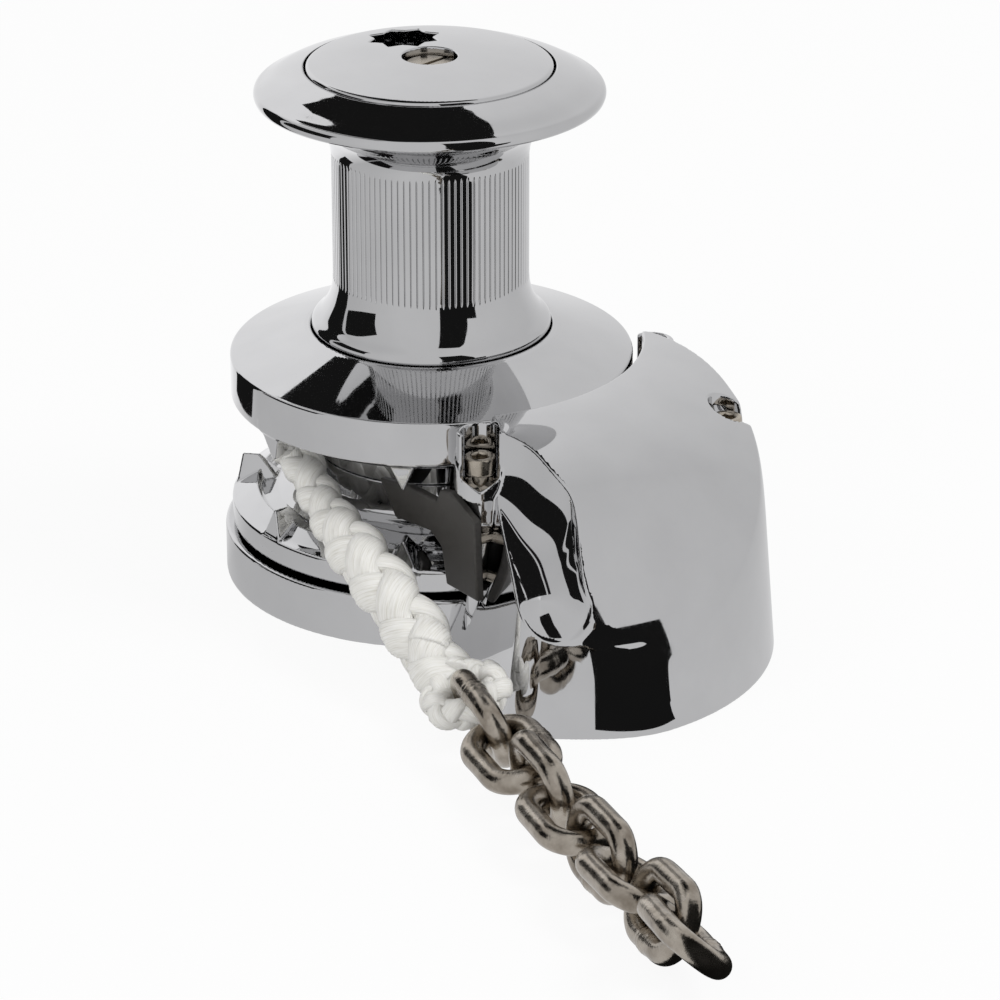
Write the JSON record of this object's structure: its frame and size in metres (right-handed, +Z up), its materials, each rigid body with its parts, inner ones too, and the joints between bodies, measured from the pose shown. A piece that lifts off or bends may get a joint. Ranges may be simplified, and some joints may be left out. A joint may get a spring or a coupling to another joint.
{
  "type": "anchor windlass",
  "caption": "Vertical anchor windlass with a rope drum, a split rope and chain gypsy, a domed chain pipe cover, and a rope spliced to chain.",
  "frame": {"origin": "centre of the footprint of the windlass on the deck, without the free rope and chain", "axes": "+Z up along the main shaft; -Y toward the bow, where the rode leaves; +X to starboard, the side of the chain pipe cover"},
  "size_m": [0.1568, 0.3856, 0.1799],
  "materials": {
    "chrome": "polished",
    "screw_steel": "bright",
    "stripper_black": "satin",
    "shaft_steel": "machined",
    "spring_steel": "drawn wire",
    "bronze": "machined",
    "seal_rubber": "moulded",
    "rope_white": "plaited nylon",
    "chain_steel": "polished, aged"
  },
  "bodies": {
    "base": {"deck_base": "chrome", "chain_pipe_cover": "chrome", "cover_screw_ear": "screw_steel", "cover_screw_side": "screw_steel", "cover_screw_back": "screw_steel", "stripper": "stripper_black", "stripper_screw_1": "screw_steel", "stripper_screw_2": "screw_steel", "shaft_bush": "bronze", "shaft_seal": "seal_rubber", "thrust_washer": "bronze", "arm_pin": "shaft_steel", "arm_clip": "screw_steel", "arm_spring": "spring_steel", "rope_wrap": "rope_white", "rope_lead": "rope_white", "rope_eye": "rope_white"},
    "shaft": {"main_shaft": "shaft_steel", "low_key": "shaft_steel", "drum_key": "shaft_steel", "clutch_cone": "bronze", "cap_screw": "screw_steel", "cap_screw_washer": "screw_steel"},
    "gypsy": {"gypsy_lower": "chrome", "gypsy_upper": "chrome", "gypsy_bush": "bronze", "gypsy_screw_1": "screw_steel", "gypsy_screw_2": "screw_steel", "gypsy_screw_3": "screw_steel", "gypsy_screw_4": "screw_steel"},
    "drum": {"drum": "chrome"},
    "cap": {"clutch_cap": "chrome"},
    "arm": {"pressure_arm": "shaft_steel"},
    "link_1": {"chain_link_1": "chain_steel"},
    "link_2": {"chain_link_2": "chain_steel"},
    "link_3": {"chain_link_3": "chain_steel"},
    "link_4": {"chain_link_4": "chain_steel"},
    "link_5": {"chain_link_5": "chain_steel"},
    "link_6": {"chain_link_6": "chain_steel"},
    "link_7": {"chain_link_7": "chain_steel"},
    "link_8": {"chain_link_8": "chain_steel"}
  },
  "joints": [
    {"name": "shaft_spin", "type": "hinge", "parent": "base", "child": "shaft", "pos_m": [-0.0084, 0.0395, 0], "axis": [0, 0, 1], "continuous": true, "deforming": ["rope_lead"]},
    {"name": "gypsy_freefall", "type": "hinge", "parent": "shaft", "child": "gypsy", "pos_m": [-0.0084, 0.0395, 0.045], "axis": [0, 0, 1], "continuous": true, "deforming": ["rope_lead"]},
    {"name": "drum_lift", "type": "slide", "parent": "shaft", "child": "drum", "axis": [0, 0, 1], "range_m": [0, 0.0011]},
    {"name": "cap_turn", "type": "hinge", "parent": "drum", "child": "cap", "pos_m": [-0.0084, 0.0395, 0.17], "axis": [0, 0, 1], "range_deg": [0, 240]},
    {"name": "arm_swing", "type": "hinge", "parent": "base", "child": "arm", "pos_m": [0.0541, -0.02449, 0.045], "axis": [0, 0, -1], "range_deg": [0, 12], "stiffness_Nm_per_rad": 0.4, "springref_deg": -22.92},
    {"name": "link_1_swing", "type": "hinge", "parent": "base", "child": "link_1", "pos_m": [-0.048, -0.08819, 0.0149], "axis": [0, 0, 1], "range_deg": [-6, 0]},
    {"name": "link_2_swing", "type": "hinge", "parent": "link_1", "child": "link_2", "pos_m": [-0.04885, -0.11595, 0.0135], "axis": [0, 0, 1], "range_deg": [-5, 5]},
    {"name": "link_3_swing", "type": "hinge", "parent": "link_2", "child": "link_3", "pos_m": [-0.0487, -0.13839, 0.0135], "axis": [0, 0, 1], "range_deg": [-5, 5]},
    {"name": "link_4_swing", "type": "hinge", "parent": "link_3", "child": "link_4", "pos_m": [-0.04875, -0.16029, 0.0135], "axis": [0, 0, 1], "range_deg": [-4, 5]},
    {"name": "link_5_swing", "type": "hinge", "parent": "link_4", "child": "link_5", "pos_m": [-0.049, -0.18294, 0.0135], "axis": [0, 0, 1], "range_deg": [-5, 5]},
    {"name": "link_6_swing", "type": "hinge", "parent": "link_5", "child": "link_6", "pos_m": [-0.04875, -0.20439, 0.0135], "axis": [0, 0, 1], "range_deg": [-5, 5]},
    {"name": "link_7_swing", "type": "hinge", "parent": "link_6", "child": "link_7", "pos_m": [-0.04865, -0.22584, 0.0135], "axis": [0, 0, 1], "range_deg": [-5, 5]},
    {"name": "link_8_swing", "type": "hinge", "parent": "link_7", "child": "link_8", "pos_m": [-0.04955, -0.24685, 0.0135], "axis": [0, 0, 1], "range_deg": [-2, 5]}
  ],
  "couplings": [
    {"joint": "drum_lift", "follows": "cap_turn", "m_per_rad": 0.00023873}
  ]
}
